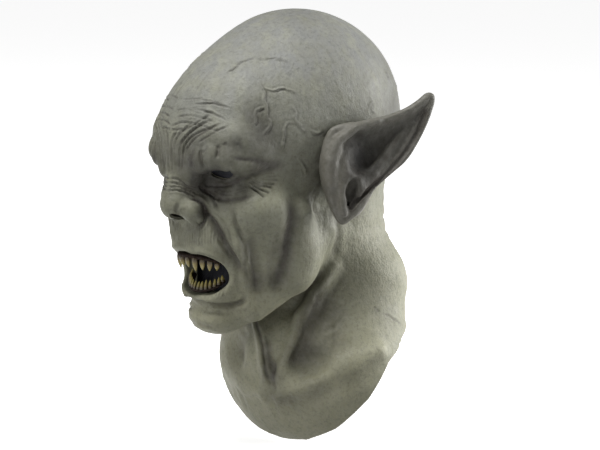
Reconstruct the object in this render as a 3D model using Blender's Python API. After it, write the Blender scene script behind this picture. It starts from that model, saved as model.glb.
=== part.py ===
"""A full-head latex creature mask: a thin hollow casting of skull, face, neck and bib, with two ears bonded on, gums
and cast teeth behind the lips, black gauze behind the eyes and the mouth, and a slit up the nape between two flaps.

Millimetres in here, metres in the scene. The face looks along -Y, the mask's left is +X, and the origin is the middle
of the wearer's head, level with the ear canals."""
import bpy
import numpy as np

WALL = 2.4                  # latex thickness
KERF = 0.35                 # half the cut between two pieces of the same casting
BOND = 0.35                 # glue line between bonded pieces
SCREEN = 0.8                # gauze thickness
SCREEN_GAP = 1.1            # gauze behind the inner face of the latex
SHEET_TRIANGLES = 6000      # budget for the outer sheet of the head
EAR_TRIANGLES = 1300
SLIT_TOP = (0, 97, -18)     # where the slit up the nape starts
FOLD_END = (96, 66, -128)   # where each flap's fold line meets the hem
FOLD_OUTWARD = (0.45, 0.88, 0.10)
BACK_ONLY = 46              # the flaps lie behind this Y
SLIT_RELIEF = (4.8, -26, 8) # how far the slit widens at its top end, and where it starts to
EYE = (37.5, 17.0)          # middle of the left eye opening, X and Z
EYE_SIZE = (13.5, 4.8)
EYE_TILT = 16
NOSTRIL = (7.0, -21.5)
CANAL = (0.0, -2.0)         # ear canal, Y and Z
UPPER_ARCH = [(0, -107), (10, -104), (17, -98.5), (22, -92), (24.5, -86)]
LOWER_ARCH = [(0, -95.5), (8, -94), (14.5, -90.5), (19, -87), (21.5, -82)]
UPPER_GUM = (-54.4, -6.0, 4.0, 7.0)         # height above the origin, rise to its ends, bar height, bar depth
LOWER_GUM = (-84.8, 9.0, 3.6, 6.0)
UPPER_TEETH = [(3.6, 8.6), (10.4, 10.4), (16.9, 9.4), (23.0, 8.0), (28.8, 6.4)]      # place along the arch, length
LOWER_TEETH = [(2.1, 5.6), (6.2, 6.0), (10.2, 7.0), (14.1, 6.0), (17.8, 5.6), (21.4, 5.2), (24.8, 4.6)]
TOOTH_WIDTH = (5.2, 3.3)


class Ball:
    """An ellipsoid, turned by degrees about X, Y and Z."""

    def __init__(self, centre, radii, turn=(0, 0, 0)):
        self.centre, self.radii = np.array(centre, float), np.array(radii, float)
        (cx, cy, cz), (sx, sy, sz) = np.cos(np.radians(turn)), np.sin(np.radians(turn))
        about_x = np.array([[1, 0, 0], [0, cx, -sx], [0, sx, cx]])
        about_y = np.array([[cy, 0, sy], [0, 1, 0], [-sy, 0, cy]])
        about_z = np.array([[cz, -sz, 0], [sz, cz, 0], [0, 0, 1]])
        self.basis = about_z @ about_y @ about_x

    def distance(self, p):
        q = (p - self.centre) @ self.basis / self.radii
        k = np.linalg.norm(q, axis=-1) + 1e-6
        return k * (k - 1) / (np.linalg.norm(q / self.radii, axis=-1) + 1e-9)


class Limb:
    """Round cones end to end."""

    def __init__(self, points, radii):
        self.points, self.radii = np.array(points, float), np.array(radii, float)

    def distance(self, p):
        best = np.full(p.shape[:-1], 1e9)
        for a, b, ra, rb in zip(self.points[:-1], self.points[1:], self.radii[:-1], self.radii[1:]):
            t = np.clip((p - a) @ (b - a) / ((b - a) @ (b - a)), 0, 1)
            best = np.minimum(best, np.linalg.norm(p - a - t[..., None] * (b - a), axis=-1) - ra - (rb - ra) * t)
        return best


HEAD = [
    ("add", Ball((0, 12, 54), (83, 94, 89)), 4),                                     # cranium
    ("add", Ball((0, -40, 36), (68, 80, 75)), 24),
    ("add", Ball((0, -48, -22), (56, 56, 74)), 18),                                  # face
    ("add", Limb([(0, 30, 0), (0, 37, -50), (0, 36, -90), (0, 30, -150)], [64, 60, 56, 52]), 14),
    ("add", Limb([(0, 44, -70), (28, 56, -100), (44, 50, -124)], [46, 44, 41]), 16),  # hunched shoulders
    ("add", Ball((0, 34, -160), (101, 69, 80)), 18),
    ("add", Limb([(50, -4, -36), (46, -30, -74), (27, -58, -96), (0, -68, -104)], [12, 14, 16, 18]), 20),
    ("add", Ball((0, -76, -107), (26, 21, 17)), 8),                                  # chin
    ("add", Ball((47, -64, -14), (22, 26, 20)), 14),                                 # cheek
    ("add", Ball((0, -82, -42), (34, 32, 28)), 10),                                  # upper lip
    ("add", Ball((0, -80, -85), (30, 23, 15)), 8),                                   # lower lip
    ("add", Ball((0, -62, -68), (38, 34, 30)), 10),                                  # round the mouth
    ("carve", Ball((38, -113, 8), (22, 22, 14), (0, -16, 24)), 8),                   # eye socket
    ("add", Limb([(13, -104, 12), (16, -106, 26), (24, -103, 38)], [9, 12, 9]), 6),  # brow lumps
    ("add", Limb([(22, -104, 36), (40, -95, 37), (56, -80, 28)], [9, 13, 9]), 7),
    ("add", Ball((37, -82, 15), (17, 13, 13)), 4),                                   # eyelids
    ("add", Limb([(0, -108, 24), (0, -111, 6), (0, -114, -8)], [8, 9, 13]), 6),      # nose
    ("add", Ball((0, -114, -13), (12, 14, 12)), 4),
    ("add", Ball((14, -107, -16), (9, 12, 11)), 4),
    ("add", Limb([(42, 4, -72), (33, -16, -120), (9, -27, -168)], [6, 8, 6]), 14),   # neck tendon
    ("add", Limb([(12, -27, -178), (46, -19, -170), (82, 2, -148)], [6, 7, 6]), 8),  # collar bone
    ("carve", Ball((0, -106, -70), (22, 36, 19)), 3),                                # mouth
    ("carve", Ball((13.5, -97, -69), (16.5, 31, 17.8)), 3),
]
HEM = [(0, -224), (0.45, -222), (0.85, -209), (1.2, -184), (1.5, -154), (1.9, -132), (2.4, -120), (3.15, -114)]
EAR_ROOT, EAR_BACK, EAR_OUT = np.array([83, -14, 0]), np.array([0.39, 0.92, 0]), np.array([0.92, -0.39, 0])
EAR_OUTLINE = [(-4, 46), (-7, 24), (0, -3), (8, -25), (20, -20), (36, -9), (50, 2), (61, 22), (73, 42), (86, 79),
               (62, 70), (38, 62), (16, 56)]
EAR = [
    ("add", Ball((83, -4, 12), (12, 20, 34), (0, 0, -12)), 8),
    ("carve", Ball((96, -8, 14), (12, 13, 24), (0, 0, -20)), 7),
]


def smooth_union(a, b, blend):
    h = np.clip(0.5 + 0.5 * (a - b) / blend, 0, 1)
    return a + (b - a) * h - blend * h * (1 - h)


def sculpt(forms, p, start=1e3):
    f = start if np.ndim(start) else np.full(p.shape[:-1], start)
    for how, shape, blend in forms:
        d = shape.distance(p)
        f = smooth_union(f, d, blend) if how == "add" else -smooth_union(-f, d, blend)
    return f


def head(p):
    return sculpt(HEAD, np.stack([np.abs(p[..., 0]), p[..., 1], p[..., 2]], -1))


def outline_distance(s, t, corners):
    """Signed distance to a closed outline in the plane, negative inside."""
    near, inside = np.full(s.shape, 1e9), np.zeros(s.shape, bool)
    for (s0, t0), (s1, t1) in zip(corners, corners[1:] + corners[:1]):
        k = np.clip(((s - s0) * (s1 - s0) + (t - t0) * (t1 - t0)) / ((s1 - s0) ** 2 + (t1 - t0) ** 2), 0, 1)
        near = np.minimum(near, np.hypot(s - s0 - k * (s1 - s0), t - t0 - k * (t1 - t0)))
        inside ^= ((t0 > t) != (t1 > t)) & (s < (s1 - s0) * (t - t0) / (t1 - t0 + 1e-12) + s0)
    return np.where(inside, -near, near)


def ear(p):
    """The left ear: a dished leaf with a raised rim, on a thick root, cut back to the skin of the head."""
    q = p - EAR_ROOT
    s, t, n = q @ EAR_BACK, p[..., 2], q @ EAR_OUT
    edge = outline_distance(s, t, EAR_OUTLINE)
    dish = 9 * (1 - np.cos(np.pi * np.clip(-(edge + 2) / 18, 0, 1))) / 2
    leaf = -smooth_union(3.7 - np.abs(n + dish - 1), -edge, 4.0)
    return np.maximum(sculpt(EAR, p, leaf), BOND - head(p))


def from_ear(q):
    """From the ear's own axes (outwards, backwards, up) to the mask's."""
    return EAR_ROOT + q[..., :1] * EAR_OUT + q[..., 1:2] * EAR_BACK + q[..., 2:] * np.array([0, 0, 1])


def gradient(field, p, reach=0.25):
    steps = reach * np.eye(3)
    g = np.stack([field(p + d) - field(p - d) for d in steps], -1) / (2 * reach)
    return g


def project(field, p, level=0.0, times=3):
    for _ in range(times):
        g = gradient(field, p)
        off = np.clip((field(p) - level) / ((g ** 2).sum(-1) + 1e-9), -3, 3)
        p = p - off[:, None] * g
    return p


def grid_lines(*spans):
    out = []
    for a, b, step in spans:
        out += list(np.linspace(a, b, max(1, round((b - a) / step)), endpoint=False))
    return np.array(out + [spans[-1][1]])


def surface(field, xs, ys, zs):
    """Surface nets over uneven grid lines: one vertex in each cell the surface crosses, then pulled onto it."""
    axes = (xs, ys, zs)
    f = field(np.stack(np.meshgrid(xs, ys, zs, indexing="ij"), -1))
    inside = f < 0
    size = np.array(f.shape)
    corners = [(i, j, k) for i in (0, 1) for j in (0, 1) for k in (0, 1)]
    count = sum(inside[i:size[0] - 1 + i, j:size[1] - 1 + j, k:size[2] - 1 + k].astype(int) for i, j, k in corners)
    cells = np.argwhere((count > 0) & (count < 8))
    index = np.full(size - 1, -1)
    index[tuple(cells.T)] = np.arange(len(cells))
    total, weight = np.zeros((len(cells), 3)), np.zeros(len(cells))
    for a in corners:
        for axis in range(3):
            if a[axis]:
                continue
            b = list(a)
            b[axis] = 1
            ia, ib = cells + a, cells + b
            fa, fb = f[tuple(ia.T)], f[tuple(ib.T)]
            cross = (fa < 0) != (fb < 0)
            t = np.where(cross, fa / np.where(cross, fa - fb, 1), 0)[:, None]
            pa = np.stack([axes[k][ia[:, k]] for k in range(3)], 1)
            pb = np.stack([axes[k][ib[:, k]] for k in range(3)], 1)
            total += np.where(cross[:, None], pa + t * (pb - pa), 0)
            weight += cross
    faces = []
    for axis in range(3):
        u, v = (axis + 1) % 3, (axis + 2) % 3
        low, high = [slice(1, -1)] * 3, [slice(1, -1)] * 3
        low[axis], high[axis] = slice(0, size[axis] - 1), slice(1, size[axis])
        at = np.argwhere(inside[tuple(low)] != inside[tuple(high)])
        at[:, u] += 1
        at[:, v] += 1
        quad = []
        for du, dv in ((0, 0), (-1, 0), (-1, -1), (0, -1)):
            c = at.copy()
            c[:, u] += du
            c[:, v] += dv
            quad.append(index[tuple(c.T)])
        quad = np.stack(quad, 1)
        flip = ~inside[tuple(at.T)]
        quad[flip] = quad[flip][:, ::-1]
        faces.append(quad)
    points = project(field, total / weight[:, None])
    quads = np.concatenate(faces)
    short = (np.linalg.norm(points[quads[:, 0]] - points[quads[:, 2]], axis=1)
             < np.linalg.norm(points[quads[:, 1]] - points[quads[:, 3]], axis=1))
    quads[~short] = np.roll(quads[~short], 1, axis=1)
    return points, np.concatenate([quads[:, [0, 1, 2]], quads[:, [0, 2, 3]]])


def clip(points, faces, side, snap=1.2):
    """Keep the part of a triangle mesh where side(p) > 0, with the cut edge on side(p) = 0."""
    s = side(points)
    g = gradient(side, points)
    off = s / np.sqrt((g ** 2).sum(-1) + 1e-9)
    used = np.zeros(len(points), bool)
    used[faces] = True
    near = (np.abs(off) < snap) & used
    points = points.copy()
    points[near] -= (off / np.sqrt((g ** 2).sum(-1) + 1e-9))[near, None] * g[near]
    points[near] = project(head, points[near], times=2)
    s = np.where(near, 0, s)
    keep, new, made, added = [], list(points), {}, len(points)
    sign = np.sign(s).astype(int)

    def crossing(a, b):
        nonlocal added
        key = (min(a, b), max(a, b))
        if key not in made:
            a, b = key
            pa, pb, sa, sb = points[a], points[b], s[a], s[b]
            for _ in range(12):
                k = 0.5 if sa * sb == 0 else sa / (sa - sb)
                pm = pa + (pb - pa) * k
                sm = side(pm[None])[0]
                if abs(sm) < 1e-4:
                    break
                if (sm > 0) == (sa > 0):
                    pa, sa = pm, sm
                else:
                    pb, sb = pm, sm
            new.append(pm)
            made[key] = added
            added += 1
        return made[key]

    for tri in faces:
        signs = [sign[i] for i in tri]
        if min(signs) >= 0 and max(signs) > 0:
            keep.append(tuple(tri))
        elif max(signs) > 0:
            loop = []
            for a, b in zip(tri, np.roll(tri, -1)):
                if sign[a] >= 0:
                    loop.append(a)
                if sign[a] * sign[b] < 0:
                    loop.append(crossing(a, b))
            keep += [(loop[0], loop[k], loop[k + 1]) for k in range(1, len(loop) - 1)]
    return np.array(new), np.array(keep)


def shell(points, faces, depth, wall, field=head):
    """Give a clipped sheet its thickness: from depth to depth + wall under the field's surface."""
    used = np.unique(faces)
    renumber = np.full(len(points), -1)
    renumber[used] = np.arange(len(used))
    faces, p = renumber[faces], points[used]
    g = gradient(field, p)
    g /= np.linalg.norm(g, axis=1)[:, None]
    edges = {}
    for a, b, c in faces:
        for e in ((a, b), (b, c), (c, a)):
            edges[e] = edges.get(e, 0) + 1
    rim = [(b, a) for a, b in edges if (b, a) not in edges]
    n = len(p)
    side = [q for a, b in rim for q in ((a, b, b + n), (a, b + n, a + n))]
    return np.concatenate([p - depth * g, p - (depth + wall) * g]), np.concatenate([faces, faces[:, ::-1] + n, side])


def mirrored(points, faces):
    return points * (-1, 1, 1), faces[:, ::-1]


def add_object(name, points, faces):
    mesh = bpy.data.meshes.new(name)
    mesh.from_pydata([tuple(p) for p in np.asarray(points, float) * 0.001], [], [tuple(map(int, f)) for f in faces])
    mesh.update()
    thing = bpy.data.objects.new(name, mesh)
    bpy.context.scene.collection.objects.link(thing)
    return thing


def hem(p):
    around = np.arctan2(np.abs(p[..., 0]) / 105, -(p[..., 1] - 32) / 70)
    return p[..., 2] - np.interp(around, *zip(*HEM))


def fold(p):
    """Positive behind the plane through a flap's fold line, at the back of the neck only."""
    along = np.subtract(FOLD_END, SLIT_TOP)
    normal = -np.cross(along, FOLD_OUTWARD)
    normal = normal / np.linalg.norm(normal)
    q = np.stack([np.abs(p[..., 0]), p[..., 1], p[..., 2]], -1)
    return np.minimum((q - SLIT_TOP) @ normal, p[..., 1] - BACK_ONLY)


def slit(p):
    """Positive on the left of the slit, which ends in a small notch at the top so the flaps clear each other."""
    width, start, run = SLIT_RELIEF
    return p[..., 0] - KERF - width * np.clip((p[..., 2] - start) / run, 0, 1)


def eye_hole(p, grow=0.0):
    c, s = np.cos(np.radians(EYE_TILT)), np.sin(np.radians(EYE_TILT))
    x, z = np.abs(p[..., 0]) - EYE[0], p[..., 2] - EYE[1]
    u, v = c * x + s * z, c * z - s * x
    d = np.hypot(u / (EYE_SIZE[0] + grow), v / (EYE_SIZE[1] + grow)) - 1
    return np.maximum(d * (EYE_SIZE[1] + grow), p[..., 1] + 60)


def nostril_hole(p):
    d = np.hypot((np.abs(p[..., 0]) - NOSTRIL[0]) / 4.0, (p[..., 2] - NOSTRIL[1]) / 4.2) - 1
    return np.maximum(d * 4.0, p[..., 1] + 100)


def canal_hole(p):
    d = np.hypot(p[..., 1] - CANAL[0], p[..., 2] - CANAL[1]) - 4.0
    return np.where(np.abs(p[..., 0]) > 50, d, 50)


def mouth_hole(p, grow=0.0):
    """Negative on the back of the mouth pocket, behind the rolled-in lips."""
    tube = np.hypot(p[..., 0] / 32, (p[..., 2] + 70) / 25) - 1
    behind = -86 - grow + 0.016 * p[..., 0] ** 2 - p[..., 1]
    return np.maximum(np.maximum(tube * 25, behind), p[..., 1] + 50)


def arch_point(arch, along):
    """Where a length along the left half of a gum arch falls: position and outward direction in plan."""
    pts = np.array(arch, float)
    legs = np.linalg.norm(np.diff(pts, axis=0), axis=1)
    at = np.concatenate([[0], np.cumsum(legs)])
    here = np.array([np.interp(along, at, pts[:, k]) for k in range(2)])
    ahead = np.array([np.interp(along + 1.5, at, pts[:, k]) for k in range(2)])
    behind = np.array([np.interp(along - 1.5, at, pts[:, k]) for k in range(2)])
    run = (ahead - behind) / np.linalg.norm(ahead - behind)
    return here, np.array([run[1], -run[0]])


def gum(arch, z, rise, height, depth):
    """A bar with rounded edges following the arch."""
    total = sum(np.hypot(b[0] - a[0], b[1] - a[1]) for a, b in zip(arch[:-1], arch[1:]))
    stops, ring = np.linspace(-total, total, 25), 10
    points, faces = [], []
    for stop in stops:
        here, out = arch_point(arch, abs(stop))
        scale = 1 - 0.3 * (abs(stop) / total) ** 4
        for k in range(ring):
            a = 2 * np.pi * k / ring
            xy = here + (0.5 * depth * scale * np.cos(a) - 1.5) * out
            up = z + rise * (abs(stop) / total) ** 2.5 + 0.5 * height * scale * np.sin(a)
            points.append((xy[0] * (-1 if stop < 0 else 1), xy[1], up))
    for i in range((len(stops) - 1) * ring):
        a, b = i, i + 1 - ring * (i % ring == ring - 1)
        faces += [(a, b, b + ring), (a, b + ring, a + ring)]
    last = (len(stops) - 1) * ring
    faces += [(0, k + 1, k) for k in range(1, ring - 1)]
    faces += [(last, last + k, last + k + 1) for k in range(1, ring - 1)]
    return points, faces


def tooth(arch, z, rise, place, length, width, side):
    """A slightly hooked cone standing on the gum bar, leaning inwards to its tip."""
    total = sum(np.hypot(b[0] - a[0], b[1] - a[1]) for a, b in zip(arch[:-1], arch[1:]))
    here, out = arch_point(arch, place)
    run = np.array([-out[1], out[0]])
    root = z + rise * (place / total) ** 2.5
    rings, around = [(0.0, 0.78), (0.18, 1.0), (0.5, 0.86), (0.8, 0.5)], 8
    points, faces = [], []
    for t, fat in rings:
        for k in range(around):
            a = 2 * np.pi * k / around
            xy = here + run * (0.5 * width * fat * np.cos(a)) + out * (0.38 * width * fat * np.sin(a) - 0.9 * t * t)
            points.append((side * xy[0], xy[1], root + length * t))
    points.append((side * (here - 0.9 * out)[0], (here - 0.9 * out)[1], root + length))
    for i in range((len(rings) - 1) * around):
        a, b = i, i + 1 - around * (i % around == around - 1)
        faces += [(a, b, b + around), (a, b + around, a + around)]
    last = (len(rings) - 1) * around
    faces += [(last + k, last + (k + 1) % around, len(points) - 1) for k in range(around)]
    faces += [(0, k + 1, k) for k in range(1, around - 1)]
    return points, faces


def outward(points, faces):
    """Turn a closed mesh right side out."""
    p, f = np.asarray(points, float), np.asarray(faces, int)
    volume = np.einsum("ij,ij->", p[f[:, 0]], np.cross(p[f[:, 1]], p[f[:, 2]]))
    return p, f if volume > 0 else f[:, ::-1]


def thinned(points, faces, triangles, field=head):
    """Collapse a mesh to a triangle budget and pull it back onto its field."""
    thing = add_object("sheet", points, faces)
    squeeze = thing.modifiers.new("thin", "DECIMATE")
    squeeze.ratio = triangles / len(faces)
    squeeze.use_collapse_triangulate = True
    result = thing.evaluated_get(bpy.context.evaluated_depsgraph_get()).to_mesh()
    p = np.array([v.co for v in result.vertices]) * 1000
    f = np.array([q.vertices[:] for q in result.polygons])
    bpy.data.objects.remove(thing)
    return project(field, p), f


for thing in list(bpy.data.objects):
    bpy.data.objects.remove(thing)

# the main casting, cut at the hem, at its openings and along the flaps
half = grid_lines((0, 60, 4.4), (60, 118, 9))
sheet = surface(head, np.concatenate([-half[:0:-1], half]),
                grid_lines((-140, -60, 5), (-60, 130, 10)),
                grid_lines((-252, -128, 10), (-128, 60, 4.4), (60, 152, 10)))
sheet = clip(*thinned(*sheet, SHEET_TRIANGLES), hem, snap=2.5)
skin = sheet
for hole, snap in ((eye_hole, 1.2), (nostril_hole, 0.8), (canal_hole, 1.2), (mouth_hole, 1.2)):
    skin = clip(*skin, hole, snap=snap)
add_object("head_skin", *shell(*clip(*skin, lambda p: -fold(p) - KERF, snap=2), 0, WALL))
flap = clip(*skin, lambda p: fold(p) - KERF, snap=2)
flap = clip(*flap, slit, snap=2)
flap = shell(*flap, 0, WALL)
add_object("rear_flap_left", *flap)
add_object("rear_flap_right", *mirrored(*flap))

# gauze bonded behind the eye openings and the back of the mouth
patch = clip(*sheet, lambda p: np.minimum(-eye_hole(p, 4.0), p[..., 0] - 5), snap=0.8)
patch = shell(*patch, WALL + SCREEN_GAP, SCREEN)
add_object("eye_screen_left", *patch)
add_object("eye_screen_right", *mirrored(*patch))
patch = clip(*sheet, lambda p: -mouth_hole(p, 2.0), snap=0.8)
add_object("mouth_screen", *shell(*patch, WALL + SCREEN_GAP, SCREEN))

# ears, sculpted in their own axes
leaf = surface(lambda q: ear(from_ear(q)), grid_lines((-20, 16, 2.0)), grid_lines((-24, 92, 2.8)),
               grid_lines((-34, 86, 2.8)))
leaf = thinned(from_ear(leaf[0]), leaf[1], EAR_TRIANGLES, ear)
add_object("ear_left", *leaf)
add_object("ear_right", *mirrored(*leaf))

# gums and teeth
for name, arch, bar, row, up, width in (("upper", UPPER_ARCH, UPPER_GUM, UPPER_TEETH, -1, TOOTH_WIDTH[0]),
                                        ("lower", LOWER_ARCH, LOWER_GUM, LOWER_TEETH, 1, TOOTH_WIDTH[1])):
    add_object(name + "_gum", *outward(*gum(arch, *bar)))
    root = bar[0] + up * (0.5 * bar[2] + BOND)
    number = 0
    for side in (1, -1):
        for place, length in row:
            number += 1
            cone = tooth(arch, root, bar[1], place, up * length, width, side)
            add_object(f"{name}_tooth_{number:02d}", *outward(*cone))
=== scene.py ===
"""Looks for the latex creature mask: every piece is sculpted as a smooth solid, cut like the casting,
wrinkled on its surface and painted with procedural materials. Millimetres in here, metres in the scene.
Points are on the left half, x > 0, and the right half mirrors them unless a comment says otherwise."""
import math

import bpy
import numpy as np
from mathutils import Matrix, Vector


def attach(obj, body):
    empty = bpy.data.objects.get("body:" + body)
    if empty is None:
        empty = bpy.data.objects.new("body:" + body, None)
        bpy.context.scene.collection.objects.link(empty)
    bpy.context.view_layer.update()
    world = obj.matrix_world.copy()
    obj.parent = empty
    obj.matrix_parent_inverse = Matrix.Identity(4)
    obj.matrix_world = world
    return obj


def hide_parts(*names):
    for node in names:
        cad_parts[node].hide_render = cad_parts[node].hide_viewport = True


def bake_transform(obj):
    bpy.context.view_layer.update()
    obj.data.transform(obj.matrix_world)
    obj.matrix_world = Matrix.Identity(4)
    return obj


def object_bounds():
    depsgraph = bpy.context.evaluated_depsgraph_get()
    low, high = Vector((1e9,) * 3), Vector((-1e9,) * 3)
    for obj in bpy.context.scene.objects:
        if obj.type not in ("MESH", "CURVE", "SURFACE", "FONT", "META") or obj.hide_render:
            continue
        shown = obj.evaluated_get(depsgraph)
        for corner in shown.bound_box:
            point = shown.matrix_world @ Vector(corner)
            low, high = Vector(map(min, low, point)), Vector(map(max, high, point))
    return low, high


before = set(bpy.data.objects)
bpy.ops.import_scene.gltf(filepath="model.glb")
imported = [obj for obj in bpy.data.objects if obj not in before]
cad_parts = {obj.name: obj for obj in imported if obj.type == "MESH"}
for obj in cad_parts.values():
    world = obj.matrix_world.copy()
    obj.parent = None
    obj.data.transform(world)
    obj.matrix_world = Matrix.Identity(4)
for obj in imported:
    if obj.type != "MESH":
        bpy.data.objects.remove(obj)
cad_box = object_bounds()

MM = 0.001
WALL = 2.4  # latex thickness
GAUZE, GAUZE_GAP = 0.8, 1.1  # gauze thickness, and the glue between it and the latex
KERF = 0.35  # half the width of the slit
FINE, COARSE = ((1.0, 2.4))  # cell sizes of the sculpting grid
EAR_CELL = 1.1
EMPTY = 1e3  # distance in an empty grid

SLIT_TOP = (0, 97, -18)  # where the slit up the nape starts
SLIT_RELIEF = (4.8, -26, 8)  # how far it widens at its top end, the height where it starts to, and the run
FOLD_END = (96, 66, -128)  # where each flap's fold line meets the hem
FOLD_OUTWARD = (0.45, 0.88, 0.10)  # out of the skin, halfway along the fold line
BACK_ONLY = 46  # nothing in front of this belongs to a flap

HEM = [(0, -223), (0.45, -220), (0.85, -207), (1.2, -184), (1.5, -154), (1.9, -132), (2.4, -120),
       (3.15, -114)]  # radians round from the front, height
HEM_MIDDLE, HEM_SIZE = 32, (105, 70)
NECK_TURN = 0.13  # radians, at the front of the hem
SHOULDER_CUT, SHOULDER_CUT_AT, SHOULDER_CUT_WIDTH = 9, 1.42, 0.36  # the hem rises under the left shoulder

EYE, EYE_SIZE, EYE_TILT = (37.5, 17.0), (13.5, 4.8), 16
EYE_FRONT, EYE_BACK = -98, -60
NOSTRIL, NOSTRIL_SIZE, NOSTRIL_BACK = (7.0, -21.5), (4.0, 4.2), -100
CANAL, CANAL_RADIUS = (0.0, -2.0), 4.0
MOUTH_HEIGHT, MOUTH_SIZE, MOUTH_BACK, MOUTH_BOW = -70, (32, 25), -84, 0.016

UPPER_ARCH = [(0, -106), (10, -103), (17, -97.5), (22, -91), (24.5, -85)]
LOWER_ARCH = [(0, -94), (8, -92.5), (14.5, -89), (19, -85.5), (21.5, -80.5)]
UPPER_GUM = (-54.4, -6.0, 4.0, 7.0)  # height at the middle, rise to its ends, bar height, bar depth
LOWER_GUM = (-84.8, 9.0, 3.6, 6.0)
UPPER_TEETH = [(3.6, 7.6), (10.4, 10.2), (16.9, 8.4), (23.0, 7.8), (28.8, 5.8)]  # place on the arch, length
LOWER_TEETH = [(2.1, 5.8), (6.2, 6.2), (10.2, 7.2), (14.1, 6.2), (17.8, 5.8), (21.4, 5.4), (24.8, 4.8)]
rng = np.random.default_rng(31)


# ---------------------------------------------------------------- solids

class Ball:
    """An ellipsoid, turned by degrees about X, Y and Z."""

    def __init__(self, centre, radii, turn=(0, 0, 0)):
        self.centre, self.radii = np.array(centre, float), np.array(radii, float)
        (cx, cy, cz), (sx, sy, sz) = np.cos(np.radians(turn)), np.sin(np.radians(turn))
        about_x = np.array([[1, 0, 0], [0, cx, -sx], [0, sx, cx]])
        about_y = np.array([[cy, 0, sy], [0, 1, 0], [-sy, 0, cy]])
        about_z = np.array([[cz, -sz, 0], [sz, cz, 0], [0, 0, 1]])
        self.basis = (about_z @ about_y @ about_x).T
        reach = np.sqrt(((self.basis.T * self.radii) ** 2).sum(1))
        self.low, self.high = self.centre - reach, self.centre + reach

    def distance(self, x, y, z):
        dx, dy, dz = x - self.centre[0], y - self.centre[1], z - self.centre[2]
        m, r = self.basis, self.radii
        q = [(m[i, 0] * dx + m[i, 1] * dy + m[i, 2] * dz) / r[i] for i in range(3)]
        k = np.sqrt(q[0] ** 2 + q[1] ** 2 + q[2] ** 2) + 1e-6
        return k * (k - 1) / (np.sqrt((q[0] / r[0]) ** 2 + (q[1] / r[1]) ** 2 + (q[2] / r[2]) ** 2) + 1e-9)


class Limb:
    """Round cones end to end."""

    def __init__(self, points, radii):
        self.points = np.array(points, float)
        self.radii = np.broadcast_to(np.array(radii, float), len(self.points))
        self.low = (self.points - self.radii[:, None]).min(0)
        self.high = (self.points + self.radii[:, None]).max(0)

    def distance(self, x, y, z):
        best = None
        for a, b, ra, rb in zip(self.points[:-1], self.points[1:], self.radii[:-1], self.radii[1:]):
            d = b - a
            t = np.clip(((x - a[0]) * d[0] + (y - a[1]) * d[1] + (z - a[2]) * d[2]) / (d @ d), 0, 1)
            gx, gy, gz = x - a[0] - t * d[0], y - a[1] - t * d[1], z - a[2] - t * d[2]
            gap = np.sqrt(gx ** 2 + gy ** 2 + gz ** 2)
            here = gap - ra - (rb - ra) * t
            best = here if best is None else np.minimum(best, here)
        return best


HEAD = [  # how each form is worked in, the form, and how widely it blends
    ("add", Ball((0, 12, 54), (83, 94, 89)), 4),  # cranium
    ("add", Ball((0, -40, 36), (68, 80, 75)), 24),
    ("add", Ball((0, -48, -22), (56, 56, 74)), 18),  # face
    ("add", Limb([(0, 28, 0), (0, 33, -50), (0, 31, -90), (0, 29, -150)], [64, 60, 56, 52]), 14),
    ("add", Limb([(0, 41, -70), (33, 54, -90), (41, 46, -124)], [45, 43, 39]), 16),  # hunched shoulders
    ("add", Ball((0, 33, -160), (100, 68, 80)), 18),
    ("add", Limb([(50, -4, -36), (46, -30, -74), (27, -58, -96), (0, -67, -104)], [12, 14, 16, 18]), 20),
    ("add", Ball((0, -74, -107), (26, 21, 17)), 8),  # chin
    ("add", Ball((47, -64, -14), (22, 26, 20)), 14),  # cheek
    ("add", Ball((0, -77, -42), (34, 32, 28)), 10),  # upper lip
    ("add", Ball((0, -76.5, -85), (30, 23, 15)), 8),  # lower lip
    ("add", Ball((0, -60, -68), (38, 34, 30)), 10),  # round the mouth
    ("add", Limb([(10, -100, 34), (26, -97, 44), (44, -88, 44), (56, -74, 34)], [10, 12, 12, 9]), 10),  # brow
    ("carve", Ball((37, -112, 7), (23, 23, 16), (0, -16, 24)), 5),  # eye socket
    ("add", Limb([(12, -105, 7), (15, -108, 17), (21, -107, 30)], [7, 10, 10]), 4),  # lumps over the eye
    ("add", Limb([(24, -106.5, 27), (36, -102.5, 30), (47, -93, 29), (56, -81, 24)], [9, 9.5, 9.5, 6]), 4),
    ("add", Ball((28.5, -109, 27), (5, 8, 10)), 4),
    ("add", Ball((37, -103.5, 31), (6, 8.5, 10)), 4),
    ("add", Ball((48, -92.5, 30), (8.5, 10.5, 10.5)), 5),
    ("add", Ball((37, -79, 15), (17, 13, 13)), 3),  # eyelids
    ("add", Limb([(22, -91, 2), (34, -88, -2), (47, -83, 2), (55, -74, 9)], [4, 6, 6, 4]), 4),  # eye bag
    ("add", Limb([(0, -108, 24), (0, -110.5, 6), (0, -113, -8)], [8, 11, 13]), 6),  # nose
    ("add", Ball((0, -113.5, -12), (12.5, 13.5, 12)), 4),
    ("add", Ball((14.5, -105, -15), (9, 12, 11)), 5),
    ("add", Limb([(31, -88, -20), (40, -80, -40), (41, -68, -62), (37, -60, -82)], [7, 8, 8, 6]), 8),  # cheek
    ("add", Limb([(58, -61, -12), (51, -53, -36), (44, -50, -62)], [9, 8, 7]), 10),
    ("add", Limb([(64, -34, -20), (56, -29, -46), (52, -26, -66)], [5, 9, 8]), 22),  # jaw muscle
    ("carve", Ball((0, -103, -70), (22, 35.5, 19)), 3),  # mouth
    ("carve", Ball((13.5, -94, -69), (16.5, 31, 17.8)), 3),
]
MOUTH = HEAD[-2:]
NECK_TOP = -60
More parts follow.
